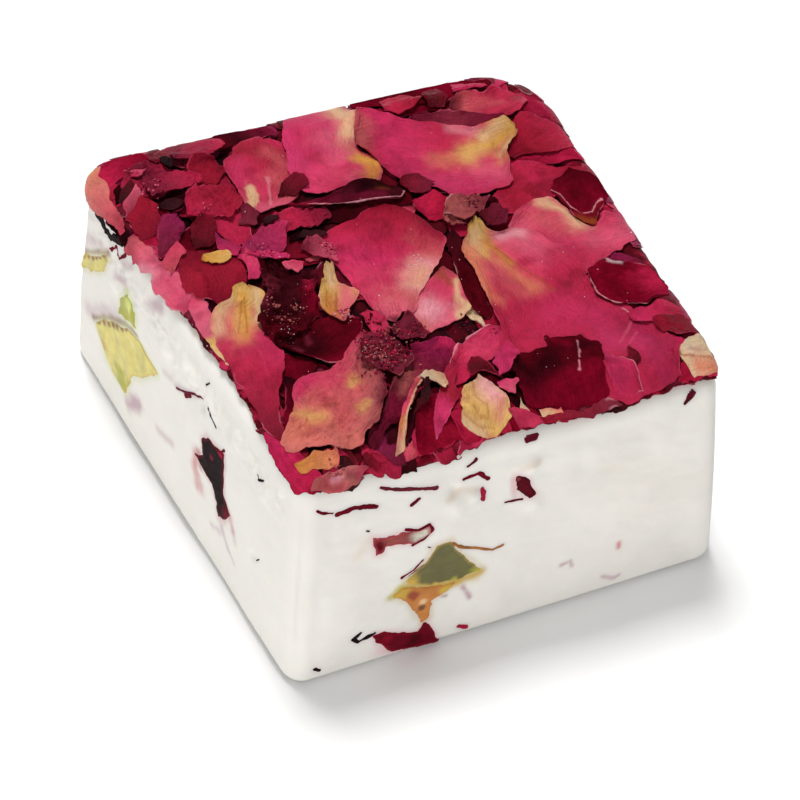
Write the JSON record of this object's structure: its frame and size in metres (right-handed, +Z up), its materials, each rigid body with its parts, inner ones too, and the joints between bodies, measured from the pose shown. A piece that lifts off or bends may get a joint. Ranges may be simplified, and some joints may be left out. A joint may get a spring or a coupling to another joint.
{
  "type": "nougat square",
  "caption": "Hand-cut square of soft white nougat topped with a pressed layer of dried rose petals, with chopped pistachio and petal flakes showing in its cut sides.",
  "frame": {"origin": "middle of the flat base, on the surface that the sweet rests on", "axes": "+Z up through the sweet; -Y out of the front cut face; +X to the right of that face as it is seen"},
  "size_m": [0.0383, 0.0401, 0.022],
  "materials": {
    "nougat": "warm white chewy nougat, smooth satin knife-cut faces with fine drag marks and small dents",
    "petal_bed": "crushed dried rose petal fragments, deep crimson to near black in the gaps",
    "petal_magenta": "dried rose petal, magenta with fine veins, paler pink edges and a cream base",
    "petal_crimson": "dried rose petal, crimson with fine veins and thin pale rims",
    "petal_salmon": "dried rose petal, salmon pink to orange with yellow patches",
    "petal_maroon": "dark dried rose petal, maroon to near black, wrinkled and crumbly",
    "petal_cream": "base of a dried rose petal, cream to yellow-orange running into pink",
    "pistachio": "chopped pistachio, dull green to pale yellow-green, cut face with softer edges",
    "nut_skin": "orange-tan pistachio skin, matt",
    "flake": "thin dark red-brown flake of petal bedded in the nougat"
  },
  "bodies": {
    "root": {"nougat_block": "nougat", "petal_bed": "petal_bed", "petal_corner_salmon": "petal_salmon", "petal_left_wall_pink": "petal_salmon", "petal_left_wall_claw": "petal_cream", "petal_back_dark": "petal_maroon", "petal_back_maroon": "petal_maroon", "petal_back_rose": "petal_crimson", "petal_left_deep": "petal_maroon", "petal_back_left_red": "petal_crimson", "petal_left_plum": "petal_crimson", "petal_left_crimson": "petal_crimson", "petal_left_dark": "petal_maroon", "petal_right_dark": "petal_maroon", "petal_back_right_red": "petal_crimson", "petal_back_right_coral": "petal_salmon", "petal_back_plum": "petal_maroon", "petal_right_edge": "petal_crimson", "petal_right_maroon": "petal_maroon", "petal_right_mid": "petal_crimson", "petal_top_coral": "petal_salmon", "petal_top_pink": "petal_magenta", "petal_mid_rose": "petal_crimson", "petal_left_magenta": "petal_magenta", "petal_second": "petal_magenta", "petal_thin_dark": "petal_maroon", "petal_mid_brown": "petal_maroon", "petal_centre_tip": "petal_salmon", "petal_front_purple": "petal_maroon", "petal_front_red": "petal_crimson", "petal_corner_cream": "petal_cream", "petal_right_salmon": "petal_salmon", "petal_fan": "petal_magenta", "petal_fold_pale": "petal_cream", "petal_fold_magenta": "petal_magenta", "petal_flat_dark": "petal_maroon", "petal_front_cream": "petal_cream", "petal_left_long": "petal_magenta", "petal_dark_cup": "petal_maroon", "petal_dark_rough": "petal_maroon", "petal_front_lip": "petal_salmon", "petal_front_orange": "petal_salmon", "petal_centre": "petal_crimson", "petal_cream_claw": "petal_cream", "petal_boat": "petal_maroon", "pistachio_front": "pistachio", "nut_skin_front": "nut_skin", "flake_front_base": "flake", "flake_front_fold": "flake", "flake_front_spot": "flake", "pistachio_left": "pistachio", "pistachio_left_upper": "pistachio", "pistachio_left_back": "pistachio", "flake_left_shard": "flake", "pistachio_right": "pistachio", "flake_right": "flake", "pistachio_back": "pistachio", "flake_back": "flake"}
  },
  "joints": []
}
